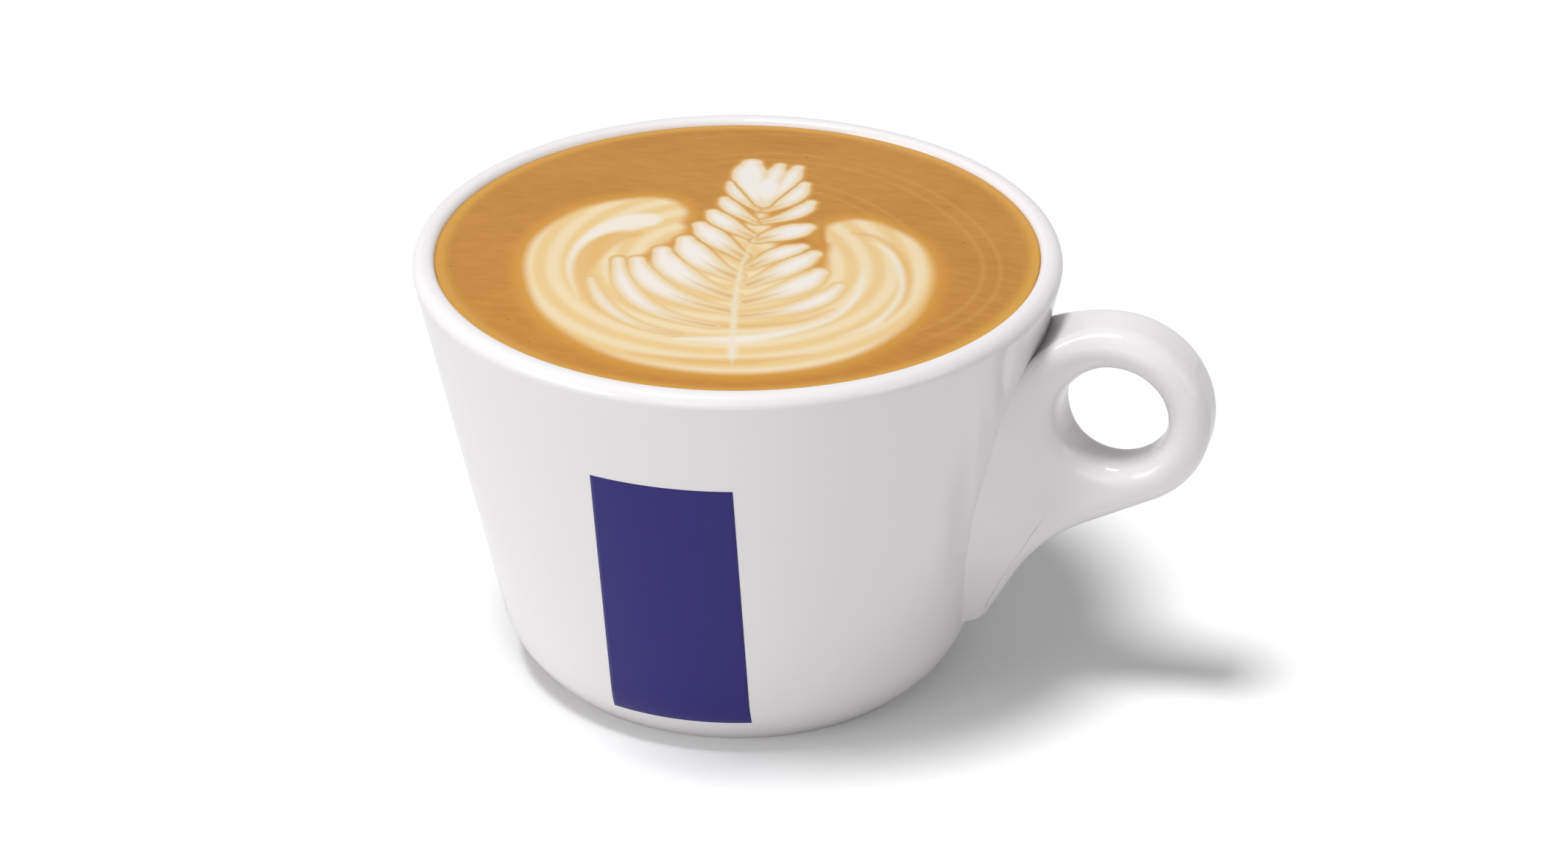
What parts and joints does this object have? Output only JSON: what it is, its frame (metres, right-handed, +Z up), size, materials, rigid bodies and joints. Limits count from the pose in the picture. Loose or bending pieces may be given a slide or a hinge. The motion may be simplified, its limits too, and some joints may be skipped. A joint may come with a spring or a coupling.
{
  "type": "cappuccino",
  "caption": "Cappuccino with poured milk-foam leaf art, filled to the brim of a white porcelain cup with a ring handle and one blue panel.",
  "frame": {"origin": "middle of the foot ring, on the surface that the cup stands on", "axes": "+Z up along the cup's axis, +X towards the ring handle, blue panel on the -Y side"},
  "size_m": [0.1129, 0.09, 0.0626],
  "materials": {
    "porcelain": "clear white glaze, glossy",
    "foam": "fine coffee foam with cream-white milk leaves, soft sheen",
    "panel": "dark blue colour fired under the glaze, glossy"
  },
  "bodies": {
    "root": {"cup": "porcelain", "coffee": "foam"}
  },
  "joints": []
}
